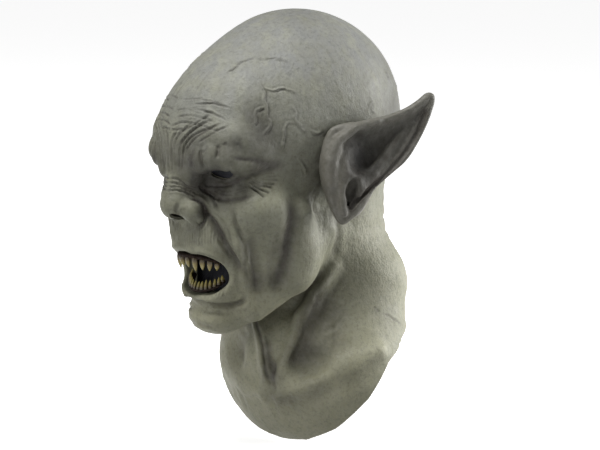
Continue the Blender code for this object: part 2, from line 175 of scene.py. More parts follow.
NECK = [  # the neck is turned to the left under the face, so these differ from side to side
    ("add", Limb([(54, 10, -70), (50, -8, -92), (46, -17, -110), (43, -22, -130), (38, -25, -146),
                  (30, -29, -160), (21, -31, -172)], [2, 5, 7, 7, 6.5, 6, 5]), 9),  # tendons
    ("add", Limb([(-26, -12, -86), (2, -31, -112), (13, -31.5, -138), (19, -31, -164)], [7, 6.5, 6, 5]), 8),
    # collar bones
    ("add", Limb([(29, -29, -176), (50, -21, -168), (78, -2, -150), (94, 24, -138)], [6, 8, 8, 5]), 9),
    ("add", Limb([(9, -30, -178), (-16, -27, -176), (-52, -14, -166), (-80, 8, -150)], [5, 7.5, 8, 5]), 9),
    ("carve", Ball((60, -24, -146), (17, 12, 12), (0, -20, 30)), 9),  # hollows above them
    ("carve", Ball((-28, -40, -150), (16, 12, 13), (0, 20, -24)), 9),
    ("carve", Ball((28, -42, -138), (8, 11, 26), (0, 12, 0)), 8),  # between the tendons
    ("carve", Ball((25, -44, -172), (8, 11, 9)), 7),
]
EAR_ROOT, EAR_BACK, EAR_OUT = np.array([83, -14, 0]), np.array([0.39, 0.92, 0]), np.array([0.92, -0.39, 0])


def rounded(points, times, closed=True):
    """Cut the corners off a chain of points."""
    p = np.array(points, float)
    for _ in range(times):
        a, b = (p, np.roll(p, -1, axis=0)) if closed else (p[:-1], p[1:])
        inner = np.stack([0.75 * a + 0.25 * b, 0.25 * a + 0.75 * b], 1).reshape(-1, p.shape[1])
        p = inner if closed else np.concatenate([p[:1], inner, p[-1:]])
    return p


EAR_OUTLINE = rounded([  # back, up
    (-7, 51), (-12, 34), (-12, 14), (-6, -8), (-1, -24), (6, -30), (15, -21), (29, -3), (46, 11), (61, 22),
    (73, 41), (81, 58), (86, 75), (79, 79), (70, 71.5), (58, 64.5), (40, 59), (23, 56), (6, 55)], 2).tolist()
REAR_RIM = rounded([(5, 12, -14), (5, 19, -6), (4.5, 32, 5), (4.5, 42, 13), (4, 56, 25), (4, 69, 44),
                    (4, 76, 62)], 2, closed=False)
LEAF, DISH, DISH_WIDTH = 3.6, 9, 18  # half thickness of the ear's leaf, how deeply it is dished, and how soon
EAR = [  # in the ear's own axes: out, back, up
    ("add", Ball((-5, 9, 10), (15, 19, 34), (14, 0, 0)), 8),
    ("carve", Ball((11, 23, 27), (13, 13, 17), (-30, 0, 0)), 4),  # concha
    ("carve", Ball((11, 11, -2), (10, 6.5, 13), (-12, 0, 0)), 3),
    ("carve", Limb([(8, 28, 36), (7, 44, 45), (6, 60, 57)], [8, 7, 4]), 6),  # trough towards the tip
    ("carve", Limb([(8, 9, -8), (1, 9, -12)], [2.4, 1.9]), 1.0),  # ear canal
    ("carve", Limb(REAR_RIM, 2.2), 1.2),  # groove inside the rear rim
    ("add", Limb([(1, 12, 9), (1, 22, 9), (1, 32, 13), (-1, 42, 24), (-3, 54, 40), (-2, 66, 56)],
                 [2.6, 4, 4.6, 4.4, 4, 2.5]), 4),
    ("add", Limb([(5, 34, 56), (6.5, 16, 52), (7, 0, 42), (7, -6, 26), (6, -5, 6)],
                 [2.0, 3.0, 4.0, 4.2, 3.6]), 5),
    ("add", Limb([(6, 2, 4), (7, 3, -6), (6, 5, -18)], [3.2, 3.4, 3]), 3),  # tragus
]


def smooth_union(a, b, blend):
    h = np.clip(0.5 + 0.5 * (a - b) / blend, 0, 1)
    return a + (b - a) * h - blend * h * (1 - h)


def combine(f, how, d, blend):
    return smooth_union(f, d, blend) if how == "add" else -smooth_union(-f, d, blend)


def head(p):
    x, y, z = np.abs(p[..., 0]), p[..., 1], p[..., 2]
    f = np.full(x.shape, EMPTY)
    for how, shape, blend in HEAD:
        f = combine(f, how, shape.distance(x, y, z), blend)
    low = z < NECK_TOP
    for how, shape, blend in NECK:
        f[low] = combine(f[low], how, shape.distance(p[..., 0][low], y[low], z[low]), blend)
    return f


def outline_distance(s, t, corners):
    """Signed distance to a closed outline in the plane, negative inside."""
    near, inside = np.full(s.shape, 1e9), np.zeros(s.shape, bool)
    for (s0, t0), (s1, t1) in zip(corners, corners[1:] + corners[:1]):
        k = np.clip(((s - s0) * (s1 - s0) + (t - t0) * (t1 - t0)) / ((s1 - s0) ** 2 + (t1 - t0) ** 2), 0, 1)
        near = np.minimum(near, np.hypot(s - s0 - k * (s1 - s0), t - t0 - k * (t1 - t0)))
        inside ^= ((t0 > t) != (t1 > t)) & (s < (s1 - s0) * (t - t0) / (t1 - t0 + 1e-12) + s0)
    return np.where(inside, -near, near)


def from_ear(q):
    return EAR_ROOT + q[..., :1] * EAR_OUT + q[..., 1:2] * EAR_BACK + q[..., 2:] * np.array([0, 0, 1])


def ear(q):
    """The left ear in its own axes: a dished leaf with a rolled rim on a thick root, cut back to the skin."""
    n, s, t = q[..., 0], q[..., 1], q[..., 2]
    edge = outline_distance(s, t, EAR_OUTLINE)
    dish = DISH * (1 - np.cos(np.pi * np.clip(-(edge + 2) / DISH_WIDTH, 0, 1))) / 2
    f = -smooth_union(LEAF - np.abs(n + dish - 1), -edge, LEAF)
    for how, shape, blend in EAR:
        f = combine(f, how, shape.distance(n, s, t), blend)
    return np.maximum(f, -1.2 - head(from_ear(q)))


def gradient(field, p, reach=0.25):
    return np.stack([field(p + d) - field(p - d) for d in reach * np.eye(3)], -1) / (2 * reach)


def normals_of(field, p):
    g = gradient(field, p)
    return g / (np.linalg.norm(g, axis=1)[:, None] + 1e-9)


def project(field, p, times=3):
    for _ in range(times):
        g = gradient(field, p)
        off = np.clip(field(p) / ((g ** 2).sum(-1) + 1e-9), -3, 3)
        p = p - off[:, None] * g
    return p


def grid_lines(*spans):
    out = []
    for a, b, step in spans:
        out += list(np.linspace(a, b, max(1, round((b - a) / step)), endpoint=False))
    return np.array(out + [spans[-1][1]])


def grid_field(forms, axes, f):
    """Work forms into a field on a grid, each only where it reaches."""
    for how, shape, blend in forms:
        margin = 2.5 * blend + 4
        cut = tuple(slice(*np.searchsorted(a, (lo - margin, hi + margin)))
                    for a, lo, hi in zip(axes, shape.low, shape.high))
        x, y, z = (a[c] for a, c in zip(axes, cut))
        d = shape.distance(x[:, None, None], y[None, :, None], z[None, None, :])
        f[cut] = combine(f[cut], how, d, blend)
    return f


def surface(field, axes, f):
    """Surface nets: one vertex in each cell that the surface crosses, then pulled onto it."""
    inside = f < 0
    size = np.array(f.shape)
    corners = [(i, j, k) for i in (0, 1) for j in (0, 1) for k in (0, 1)]
    span = size - 1
    count = sum(inside[i:span[0] + i, j:span[1] + j, k:span[2] + k].astype(np.int8) for i, j, k in corners)
    cells = np.argwhere((count > 0) & (count < 8))
    index = np.full(size - 1, -1, np.int32)
    index[tuple(cells.T)] = np.arange(len(cells))
    total, weight = np.zeros((len(cells), 3)), np.zeros(len(cells))
    for a in corners:
        for axis in range(3):
            if a[axis]:
                continue
            b = list(a)
            b[axis] = 1
            ia, ib = cells + a, cells + b
            fa, fb = f[tuple(ia.T)], f[tuple(ib.T)]
            cross = (fa < 0) != (fb < 0)
            t = np.where(cross, fa / np.where(cross, fa - fb, 1), 0)[:, None]
            pa = np.stack([axes[k][ia[:, k]] for k in range(3)], 1)
            pb = np.stack([axes[k][ib[:, k]] for k in range(3)], 1)
            total += np.where(cross[:, None], pa + t * (pb - pa), 0)
            weight += cross
    faces = []
    for axis in range(3):
        u, v = (axis + 1) % 3, (axis + 2) % 3
        low, high = [slice(1, -1)] * 3, [slice(1, -1)] * 3
        low[axis], high[axis] = slice(0, size[axis] - 1), slice(1, size[axis])
        at = np.argwhere(inside[tuple(low)] != inside[tuple(high)])
        at[:, u] += 1
        at[:, v] += 1
        quad = []
        for du, dv in ((0, 0), (-1, 0), (-1, -1), (0, -1)):
            c = at.copy()
            c[:, u] += du
            c[:, v] += dv
            quad.append(index[tuple(c.T)])
        quad = np.stack(quad, 1)
        flip = ~inside[tuple(at.T)]
        quad[flip] = quad[flip][:, ::-1]
        faces.append(quad)
    points, quads = project(field, total / weight[:, None]), np.concatenate(faces)
    short = (np.linalg.norm(points[quads[:, 0]] - points[quads[:, 2]], axis=1)
             < np.linalg.norm(points[quads[:, 1]] - points[quads[:, 3]], axis=1))
    quads[~short] = np.roll(quads[~short], 1, axis=1)
    return points, np.concatenate([quads[:, [0, 1, 2]], quads[:, [0, 2, 3]]])


def cut(points, faces, side, snap):
    """Cut a triangle mesh along side(p) = 0. Returns points, positive faces and negative faces."""
    s = side(points)
    g = gradient(side, points)
    norm = (g ** 2).sum(-1) + 1e-9
    used = np.zeros(len(points), bool)
    used[faces] = True
    near = (np.abs(s) / np.sqrt(norm) < snap) & used
    points = points.copy()
    for _ in range(2):
        moved = points[near]
        g = gradient(side, moved)
        moved = moved - (side(moved) / ((g ** 2).sum(-1) + 1e-9))[:, None] * g
        points[near] = project(head, moved, times=1)
    s = np.where(near, 0, s)
    sign = np.sign(s).astype(int)
    corner = sign[faces]
    split = (corner.min(1) < 0) & (corner.max(1) > 0)
    level = corner.max(1) + corner.min(1)
    flat = (corner == 0).all(1)
    level[flat] = np.where(side(points[faces[flat]].mean(1)) > 0, 1, -1) if flat.any() else 0
    front, back = [faces[~split & (level > 0)]], [faces[~split & (level < 0)]]
    crossing = faces[split]
    edges = np.sort(np.concatenate([crossing[:, [0, 1]], crossing[:, [1, 2]], crossing[:, [2, 0]]]), 1)
    edges = np.unique(edges[sign[edges[:, 0]] * sign[edges[:, 1]] < 0], axis=0)
    made = {}
    if len(edges):
        pa, pb = points[edges[:, 0]], points[edges[:, 1]]
        sa = s[edges[:, 0]]
        for _ in range(14):
            middle = (pa + pb) / 2
            same = (side(middle) > 0) == (sa > 0)
            pa = np.where(same[:, None], middle, pa)
            pb = np.where(same[:, None], pb, middle)
        made = {tuple(e): len(points) + i for i, e in enumerate(edges)}
        points = np.concatenate([points, (pa + pb) / 2])
    new = {1: [], -1: []}
    for tri in crossing:
        loops = {1: [], -1: []}
        for a, b in zip(tri, (tri[1], tri[2], tri[0])):
            for way in (1, -1):
                if sign[a] * way >= 0:
                    loops[way].append(a)
                if sign[a] * sign[b] < 0:
                    loops[way].append(made[(min(a, b), max(a, b))])
        for way in (1, -1):
            loop = loops[way]
            new[way] += [(loop[0], loop[k], loop[k + 1]) for k in range(1, len(loop) - 1)]
    for way, out in ((1, front), (-1, back)):
        if new[way]:
            out.append(np.array(new[way]))
    return points, np.concatenate(front), np.concatenate(back)


# ---------------------------------------------------------------- where the casting is cut

def folded(p):
    return np.stack([np.abs(p[..., 0]), p[..., 1], p[..., 2]], -1)


def hem(p):
    """Above the hem. Its lowest place is turned to the left in front, like the neck."""
    around = np.arctan2(p[..., 0] / HEM_SIZE[0], -(p[..., 1] - HEM_MIDDLE) / HEM_SIZE[1])
    line = np.interp(np.abs(around - NECK_TURN * np.cos(around / 2) ** 2), *zip(*HEM))
    return p[..., 2] - line - SHOULDER_CUT * np.exp(-((around - SHOULDER_CUT_AT) / SHOULDER_CUT_WIDTH) ** 2)


FOLD_NORMAL = -np.cross(np.subtract(FOLD_END, SLIT_TOP), FOLD_OUTWARD)
FOLD_NORMAL = FOLD_NORMAL / np.linalg.norm(FOLD_NORMAL)


def fold(p):
    """Positive behind the plane through a flap's fold line, at the back of the neck only."""
    return np.minimum((folded(p) - SLIT_TOP) @ FOLD_NORMAL, p[..., 1] - BACK_ONLY)


def slit(p):
    width, start, run = SLIT_RELIEF
    return p[..., 0] - KERF - width * np.clip((p[..., 2] - start) / run, 0, 1)


def eye_ring(p, grow=0.0):
    """Distance out from the almond of the eye, seen from in front."""
    c, s = np.cos(np.radians(EYE_TILT)), np.sin(np.radians(EYE_TILT))
    x, z = np.abs(p[..., 0]) - EYE[0], p[..., 2] - EYE[1]
    u, v = c * x + s * z, c * z - s * x
    v = v + 0.9 * (1 - (u / EYE_SIZE[0]) ** 2) * np.exp(-(u / 16) ** 2)
    d = np.hypot(u / (EYE_SIZE[0] + grow), v / (EYE_SIZE[1] + grow)) - 1
    return d * (EYE_SIZE[1] + grow)


def eye_hole(p, grow=0.0):
    return np.maximum(eye_ring(p, grow), np.maximum(p[..., 1] - EYE_BACK, EYE_FRONT - p[..., 1]))


def nostril_hole(p):
    wide, tall = NOSTRIL_SIZE
    d = np.hypot((np.abs(p[..., 0]) - NOSTRIL[0]) / wide, (p[..., 2] - NOSTRIL[1]) / tall) - 1
    return np.maximum(d * wide, p[..., 1] - NOSTRIL_BACK)


def canal_hole(p):
    d = np.hypot(p[..., 1] - CANAL[0], p[..., 2] - CANAL[1]) - CANAL_RADIUS
    return np.where(np.abs(p[..., 0]) > 50, d, 50)


def mouth_hole(p, grow=0.0):
    wide, tall = MOUTH_SIZE
    tube = np.hypot(p[..., 0] / wide, (p[..., 2] - MOUTH_HEIGHT) / tall) - 1
    behind = MOUTH_BACK - grow + MOUTH_BOW * p[..., 0] ** 2 - p[..., 1]
    return np.maximum(np.maximum(tube * tall, behind), p[..., 1] + 50)


def mouth_rim(p):
    """Distance out from the mouth's edge."""
    x, y, z = np.abs(p[..., 0]), p[..., 1], p[..., 2]
    return np.minimum(MOUTH[0][1].distance(x, y, z), MOUTH[1][1].distance(x, y, z))


# ---------------------------------------------------------------- wrinkles, veins and painted shade

HASH = np.array([374761393, 668265263, 1442695041])


def noise(p, size, seed):
    """Smooth value noise, -1 to 1."""
    q = np.asarray(p) / size + seed * 17.31
    cell = np.floor(q).astype(np.int64)
    f = q - cell
    f = f * f * (3 - 2 * f)
    total = np.zeros(len(q))
    for dx in (0, 1):
        for dy in (0, 1):
            for dz in (0, 1):
                h = (cell + (dx, dy, dz)) @ HASH
                h = (h ^ (h >> 13)) * 1274126177
                h = h ^ (h >> 16)
                value = (h & 0xffff) / 32767.5 - 1
                weight = np.where(dx, f[:, 0], 1 - f[:, 0]) * np.where(dy, f[:, 1], 1 - f[:, 1])
                total += value * weight * np.where(dz, f[:, 2], 1 - f[:, 2])
    return total


# sweeping down from the forehead between the brows: points, width, depth
FROWN_LINES = [
    ([(38, -103, 60), (27, -111, 54), (18, -116, 47), (12, -118, 38), (11, -118, 26), (10, -116, 12)], 1.1,
     1.7),
    ([(40, -103, 55), (30, -110, 50), (21, -115, 45), (16, -117, 37), (15, -117, 27), (14, -116, 16)], 1.0,
     1.5),
    ([(8, -118, 52), (3, -120, 42), (2, -120, 32), (2.5, -119, 11)], 1.3, 2.1),
    ([(25, -109, 60), (14, -117, 51), (7, -119, 43), (6, -119, 32), (6.5, -117, 18)], 0.9, 1.3),
    ([(43, -99, 57), (33, -107, 50), (25, -113, 44), (19, -116, 36), (18.5, -116, 30)], 0.9, 1.1),
    ([(34, -104, 63), (24, -112, 56), (16, -116, 51), (9, -119, 47)], 0.9, 1.1),
    ([(47, -96, 55), (37, -105, 48), (29, -111, 42)], 0.8, 0.9),
    ([(30, -108, 57), (21, -114, 50), (14, -117, 43), (8.5, -118, 36), (8.5, -118, 24)], 0.8, 0.9),
]

# height, from x, to x, width, depth
FOREHEAD_CREASES = [
    (57, 0, 30, 1.0, 1.2), (60, 14, 40, 0.8, 0.8), (63, 4, 36, 1.0, 1.2), (66, 28, 47, 0.9, 1.1),
    (68.5, 20, 38, 0.9, 1.1), (72, 2, 24, 0.8, 0.7), (77, 18, 51, 1.0, 1.5), (81, 24, 44, 0.7, 0.6),
    (84, 2, 26, 0.8, 0.6), (91, 12, 34, 0.8, 0.4), (52, 0, 14, 1.0, 1.3), (55, 26, 44, 0.8, 0.8),
]

# upright, across the brow and round its lumps: top, foot, width, depth
BROW_CREASES = [
    ((26.5, -115, 44), (25.5, -113, 22), 1.3, 1.8),
    ((32.5, -112, 43), (34, -108, 24), 1.2, 1.6),
    ((37, -110, 45), (36.5, -109, 33), 1.0, 1.2),
    ((44, -106, 47), (44, -103, 30), 1.5, 1.8),
    ((48, -102, 47), (49, -100, 40), 0.9, 0.9),
    ((23, -115, 36), (22, -115, 26), 0.8, 0.8),
    ((55, -95, 46), (57, -90, 36), 1.2, 0.7),
]

# raised over the temple and skull: points, width
VEINS = [
    ([(48, -66, 92), (50, -65, 86), (56, -64, 83), (56, -67, 76), (61, -66, 70), (60, -69, 63),
     (63, -65, 56), (60, -73, 46)], 1.0),
    ([(52, -65, 85), (58, -58, 82), (60, -54, 86), (66, -46, 84), (67, -42, 78)], 0.9),
    ([(59, -67, 70), (55, -75, 66), (58, -75, 59), (55, -79, 53)], 0.9),
    ([(71, -46, 57), (67, -54, 58), (67, -57, 52), (69, -56, 45), (67, -58, 36)], 0.9),
    ([(67, -50, 72), (71, -46, 66), (69, -48, 59), (73, -42, 53), (74, -38, 47)], 1.0),
    ([(74, -34, 50), (76, -29, 47), (78, -22, 47), (79, -17, 43)], 0.8),
    ([(36, -62, 110), (42, -56, 108), (46, -50, 110), (54, -40, 104)], 0.8),
    ([(26, -86, 98), (29, -76, 103), (28, -72, 108), (36, -62, 111)], 0.8),
    ([(76, 30, 76), (79, 24, 66), (77, 32, 58), (80, 34, 46), (79, 46, 36)], 1.0),
    ([(60, 60, 96), (66, 56, 88), (64, 60, 80), (72, 60, 66)], 0.9),
    ([(30, 84, 104), (38, 82, 96), (36, 88, 84), (46, 88, 70)], 1.0),
    ([(64, -42, 30), (69, -37, 22), (67, -34, 12)], 0.9),
]

# each on one side only: points, width, depth, how dark its painted shade is
NECK_FOLDS = [
    ([(19, -38, -126), (23, -39, -140), (26, -38, -156), (26, -36, -174)], 4.0, 1.4, 0.9),
    ([(5, -36, -112), (14, -38, -134), (20, -38, -154), (24, -36, -172)], 1.8, 1.4, 0.8),
    ([(54, 0, -86), (54, -12, -104), (54, -21, -124), (53, -25, -142), (46, -27, -156)], 7.5, 1.6, 0.75),
    ([(50, -8, -92), (48, -18, -114), (46, -23, -134), (41, -26, -150)], 2.2, 1.2, 0.8),
    ([(10, -33, -186), (32, -32, -182), (56, -22, -176), (74, -8, -164)], 6.5, 0.8, 0.4),
    ([(-14, -36, -128), (-20, -34, -142), (-24, -32, -156)], 7.0, 1.0, 0.4),
    ([(70, -6, -112), (73, -6, -124), (74, -4, -134)], 1.4, 0.8, 0.3),
]

STROKES = []  # points, half-width, depth (negative stands proud), how dark its painted shade is, if it is mirrored


def stroke(points, width, depth, dark=0.6, wobble=0.0, both=True):
    """A crease or a vein, laid along the skin through rough points, on both halves unless told otherwise."""
    p = rounded(points, 2 if len(points) > 4 else 3, closed=False)
    p = p + wobble * rng.normal(size=p.shape) * np.sin(np.pi * np.linspace(0, 1, len(p)))[:, None]
    STROKES.append((project(head, p, times=4), width, depth, dark, both))


def fan(root, tips, start, width, depth, dark):
    """Short creases running out from a root towards each tip, from start (0 to 1) of the way."""
    root = np.array(root, float)
    for tip in tips:
        tip = np.array(tip, float)
        a = root + (tip - root) * (start + 0.08 * rng.normal())
        middle = (a + tip) / 2 + (0, 0, 0.8 * rng.normal())
        wide, deep = width * (0.9 + 0.3 * rng.random()), depth * (0.8 + 0.4 * rng.random())
        stroke([a, middle, tip], wide, deep, dark)


for line, width, depth in FROWN_LINES:
    stroke(line, 0.85 * width, 0.85 * depth, 0.8, wobble=0.08)
for z0, x0, x1, width, deep in FOREHEAD_CREASES:
    line = []
    for x in np.linspace(x0, x1, 6):
        drop = 5 * math.exp(-x / 9) + 0.012 * max(0, x - 26) ** 2
        line.append((x, -118 + 0.009 * x * x, z0 - drop + 1.1 * math.sin(x / 7 + z0)))
    stroke(line, 0.85 * width, 0.85 * deep, 0.65, wobble=0.1)
for top, foot, width, deep in BROW_CREASES:
    middle = (np.array(top) + foot) / 2 + (1.5, 0, 0)
    stroke([np.array(top) - (0, 0, 6), middle, foot], width, 0.7 * deep, 0.5)
# round the eyes
fan((50, -90, 14), [(62, -70, 25), (64, -66, 22), (65, -62, 18), (65, -60, 14), (65, -59, 10), (64, -61, 6),
    (64, -64, 3), (64, -68, -1), (63, -73, -4)], 0.4, 0.75, 1.1, 0.85)
fan((50, -90, 14), [(58, -80, 29), (61, -75, 27), (62, -72, 19), (62, -70, 11), (60, -74, 5), (59, -77, 1)],
    0.5, 0.65, 0.8, 0.7)
for k in range(6):
    main = k == 4
    stroke([(23 - k, -98, 6.5 - 1.6 * k), (34, -95, 2.4 - 1.9 * k), (46, -91, 1.6 - 1.8 * k),
            (56 + k, -80, 8 - 2.2 * k)], 0.8 + 0.5 * main, 0.6 + 1.3 * main, 0.5 + 0.35 * main, wobble=0.25)
stroke([(19, -106, 6), (24, -101, 1), (30, -97, -7), (33, -95, -15)], 1.2, 1.3, 0.85)
stroke([(23, -103, 4), (28, -98, -3), (36, -95, -9)], 0.9, 0.9, 0.7)
# across the bridge of the nose and round its wings
for z in (10, 7, 4, 1):
    stroke([(0, -122, z), (7, -117, z + 0.8), (13, -111, z - 1.5), (19, -106, z - 6)], 0.9, 1.4, 0.85,
           wobble=0.25)
stroke([(14, -114, -3), (21, -107, -6), (25, -102, -15), (22, -102, -26), (14, -106, -31)], 1.6, 2.2, 1)
stroke([(11, -120, -8), (9, -123, -15), (11, -120, -23)], 1.6, 0.8, 0.4)
stroke([(0, -125, -27), (0, -118, -34), (0, -113, -46)], 3.0, 1.2, 0.3)
# folds of the cheek
stroke([(22.5, -107, -10), (24, -103.5, -18), (28.5, -98, -24), (34, -93.5, -35), (38, -87.5, -47),
    (39, -81.5, -57), (38, -75, -70)], 3.0, 2.8, 0.95)
stroke([(27, -99, -14), (37, -91, -22), (40, -86, -38), (43, -79, -52)], 1.0, 0.8, 0.4)
stroke([(31, -96, -36), (35, -89, -47), (36, -84, -56)], 0.9, 0.9, 0.5)
stroke([(45, -92, -8), (47, -87, -25), (44, -81, -40), (42, -73, -58), (39, -69, -78)], 2.0, 1.8, 0.55)
stroke([(48, -80, -34), (44, -74, -50), (43, -68, -66), (42, -63, -86)], 4.4, 3.2, 0.75)
stroke([(65, -50, -3), (61, -50, -23), (55, -47, -41), (51, -46, -55), (51, -49, -70), (48, -54, -86)], 5.2,
    2.4, 0.95)
stroke([(64, -50, -10), (60, -45, -30), (55, -41, -52)], 1.6, 0.7, 0.3)
stroke([(60, -60, -22), (53, -55, -42), (48, -55, -62), (45, -58, -80)], 3.2, 1.1, 0.3)
for k, x in enumerate(np.linspace(62, 74, 6)):
    stroke([(x, -40 + 8 * k, 4 - 4 * k), (x - 8, -38 + 7 * k, -26), (x - 14, -34 + 5 * k, -58)], 1.3, 0.35,
           0.15, wobble=0.7)
# lips and chin
for k, x in enumerate(np.arange(1.5, 34, 2.3)):
    lean, y = 1 + 0.1 * math.sin(2.3 * k), -112 + 0.012 * x * x
    stroke([(x, y, -30 + 0.25 * x * lean), (x * 1.06, y, -49 + 0.2 * x)], 0.7, 0.6 + 0.25 * math.sin(1.7 * k),
           0.4, wobble=0.2)
for x in np.arange(1.5, 27, 2.8):
    bow = x * x
    stroke([(x, -99 + 0.015 * bow, -88), (x * 1.1, -98 + 0.015 * bow, -93 + 0.02 * bow)], 0.8, 0.6, 0.4)
stroke([(0, -99, -93), (12, -95, -94.5), (22, -86, -97), (31, -76, -96), (38, -69, -88)], 2.0, 2.4, 0.6)
stroke([(6, -95, -100), (15, -91, -102), (23, -82, -103)], 1.4, 0.8, 0.3)
stroke([(0, -94, -112), (8, -92, -113), (15, -86, -114)], 2.0, 0.7, 0.3)
# veins, with a painted shadow along their lower sides
for line, wide in VEINS:
    stroke(line, wide, -0.9, 0.15, wobble=0.35)
    stroke(np.array(line, float) + (0.4, 1.6, -1.3), wide * 0.8, 0.4, 0.5, wobble=0.3)
# faint mould lines up the forehead
for x in (6, 13):
    stroke([(x, -114, 70), (x + 1, -106, 86), (x + 2, -92, 104)], 0.7, 0.3, 0.3)
# in front of and under the ear
for k in range(6):
    stroke([(77 - k, -22 - 2.5 * k, 42 - 4 * k), (74 - k, -21 - 3 * k, 18), (72 - 1.5 * k, -17 - 2 * k, -4),
            (66 - k, -8 - 2 * k, -26)], 1.1, 1.1 - 0.15 * k, 0.55 - 0.07 * k, wobble=0.4)
for k in range(3):
    stroke([(76, -30 + 4 * k, 46 + k), (80, -20 + 2 * k, 49 - 3 * k)], 0.7, 0.9, 0.7)
stroke([(66, 2, -24), (60, 8, -42), (54, 8, -62)], 3.5, 1.2, 0.4)
# under the jaw and down the neck
stroke([(54, 6, -74), (47, -9, -88), (37, -23, -102), (24, -35, -112), (8, -46, -118)], 5.0, 1.6, 0.4)
for line, width, deep, dark in NECK_FOLDS:
    stroke(line, width, deep, dark, wobble=0.3, both=False)
for k in range(5):
    top, middle = (50 + 2 * k, 22 + 4 * k, -74 - 9 * k), (56 + 3 * k, 10, -92 - 9 * k)
    stroke([top, middle, (54, -4 - k, -108 - 7 * k)], 2.2, 0.6, 0.15, wobble=0.8)
stroke([(85, 38, -107), (87, 50, -113), (87, 62, -121)], 0.9, 0.9, 0.6, wobble=0.3)
stroke([(84, 36, -106), (82, 32, -100)], 0.9, 0.7, 0.5)
for k in range(5):
    top, foot = (20 + 12 * k, -34 + 3 * k, -180 - 3 * k), (24 + 13 * k, -33 + 4 * k, -205 + 5 * k)
    stroke([top, foot], 3.5, 0.5, 0.12, wobble=1)
for k in range(4):
    stroke([(4, 93, -4 - 11 * k), (26, 90, -8 - 12 * k), (50, 74, -12 - 12 * k)], 2.2, 0.9, 0.3, wobble=0.6)

# painted shade in the hollows, under the jaw and round the ears, on both halves: centre, radius, how dark
SHADES = [
    ((24, -102, 8), 14, 1.0), ((31, -99, 12), 13, 1.0), ((22, -108, 14), 8, 0.8), ((45, -90, 14), 12, 0.85),
    ((38, -101, 22), 9, 0.8), ((50, -85, 6), 11, 0.65), ((36, -95, -2), 11, 0.75), ((24, -103, -1), 9, 0.7),
    ((62, -72, 44), 18, 0.65), ((60, -76, 62), 16, 0.55), ((23, -104, -16), 8, 0.75),
    ((14, -108, -28), 8, 0.35), ((64, -46, -16), 12, 0.3), ((52, -48, -46), 12, 0.5),
    ((62, -32, -38), 16, 0.2), ((52, -47, -72), 12, 0.35), ((43, -66, -72), 11, 0.5),
    ((36, -86, -52), 9, 0.5), ((33, -92, -30), 8, 0.4), ((0, -120, 30), 12, 0.45),
    ((14, -117, 40), 12, 0.3), ((50, -2, -88), 16, 0.5), ((0, -44, -122), 14, 0.15),
    ((66, 56, 50), 26, 0.75), ((44, 70, 78), 28, 0.35), ((20, 0, 141), 26, 0.22),
    ((28, -110, 32), 19, 0.62), ((12, -114, 22), 14, 0.7), ((54, -96, 36), 15, 0.5),
    ((25, -116, 24), 9, 0.75), ((10, -112, 64), 24, 0.2), ((0, -124, -2), 12, 0.5),
    ((12, -114, 0), 10, 0.45), ((46, -98, 34), 15, 0.45), ((46, -88, -2), 12, 0.4),
    ((60, -60, 20), 16, 0.12), ((14, -116, -16), 10, 0.25), ((78, -12, 16), 24, 0.5),
    ((72, 4, -20), 20, 0.4), ((76, 20, 34), 24, 0.4), ((68, -40, 16), 22, 0.22), ((84, 44, -112), 14, 0.2),
    ((40, 86, -30), 30, 0.25), ((30, -80, -96), 10, 0.3), ((0, -104, -93), 12, 0.2),
]
# the same on the neck, each on one side only
NECK_SHADES = [
    ((57, -22, -142), 16, 0.8), ((58, -1, -112), 20, 0.65), ((26, -38, -158), 11, 0.9),
    ((28, -34, -176), 12, 0.3), ((-28, -36, -148), 16, 0.4), ((68, -12, -132), 22, 0.45),
]


def along(p, line):
    """Distance to a chain of points, and how far along it the nearest place is, 0 to 1."""
    near, where = np.full(len(p), 1e9), np.zeros(len(p))
    legs = np.linalg.norm(np.diff(line, axis=0), axis=1)
    at = np.concatenate([[0], np.cumsum(legs)]) / legs.sum()
    for k, (a, b) in enumerate(zip(line[:-1], line[1:])):
        d = b - a
        t = np.clip((p - a) @ d / (d @ d + 1e-9), 0, 1)
        gap = np.linalg.norm(p - a - t[:, None] * d, axis=1)
        better = gap < near
        near = np.where(better, gap, near)
        where = np.where(better, at[k] + t * (at[k + 1] - at[k]), where)
    return near, where


GRAIN = ((0.55, 23, 7), (0.28, 9, 8), (0.16, 4.2, 9))  # uneven skin: height, size and seed of each noise


def bell(distance, middle, width):
    return np.exp(-((distance - middle) / width) ** 2)


def drift(p):
    """How far the marks wander from their plain lines, so that neither half is an exact mirror image."""
    broad = np.stack([noise(p, 21, seed) for seed in (1, 2, 3)], 1)
    small = np.stack([noise(p, 6, seed) for seed in (4, 5, 6)], 1)
    return broad * 1.3 + small * 0.35


def marks(q, own):
    """Rise of the strokes, and the painted shade in their creases. q is folded onto the left half, and own
    isn't.
    """
    rise, crease = np.zeros(len(q)), np.zeros(len(q))
    for line, width, depth, dark, both in STROKES:
        reach, here = 3.2 * width + 1, q if both else own
        close = np.flatnonzero(((here > line.min(0) - reach) & (here < line.max(0) + reach)).all(1))
        if not len(close):
            continue
        d, t = along(here[close], line)
        fade = np.clip(np.sin(np.pi * np.clip(t, 0.0, 1.0)) * 2.2, 0, 1)
        rise[close] += depth * fade * (0.28 * bell(d, 2.0 * width, 0.9 * width) - bell(d, 0, width))
        crease[close] = np.maximum(crease[close], dark * fade * bell(d, 0, 1.25 * width))
    return rise, crease


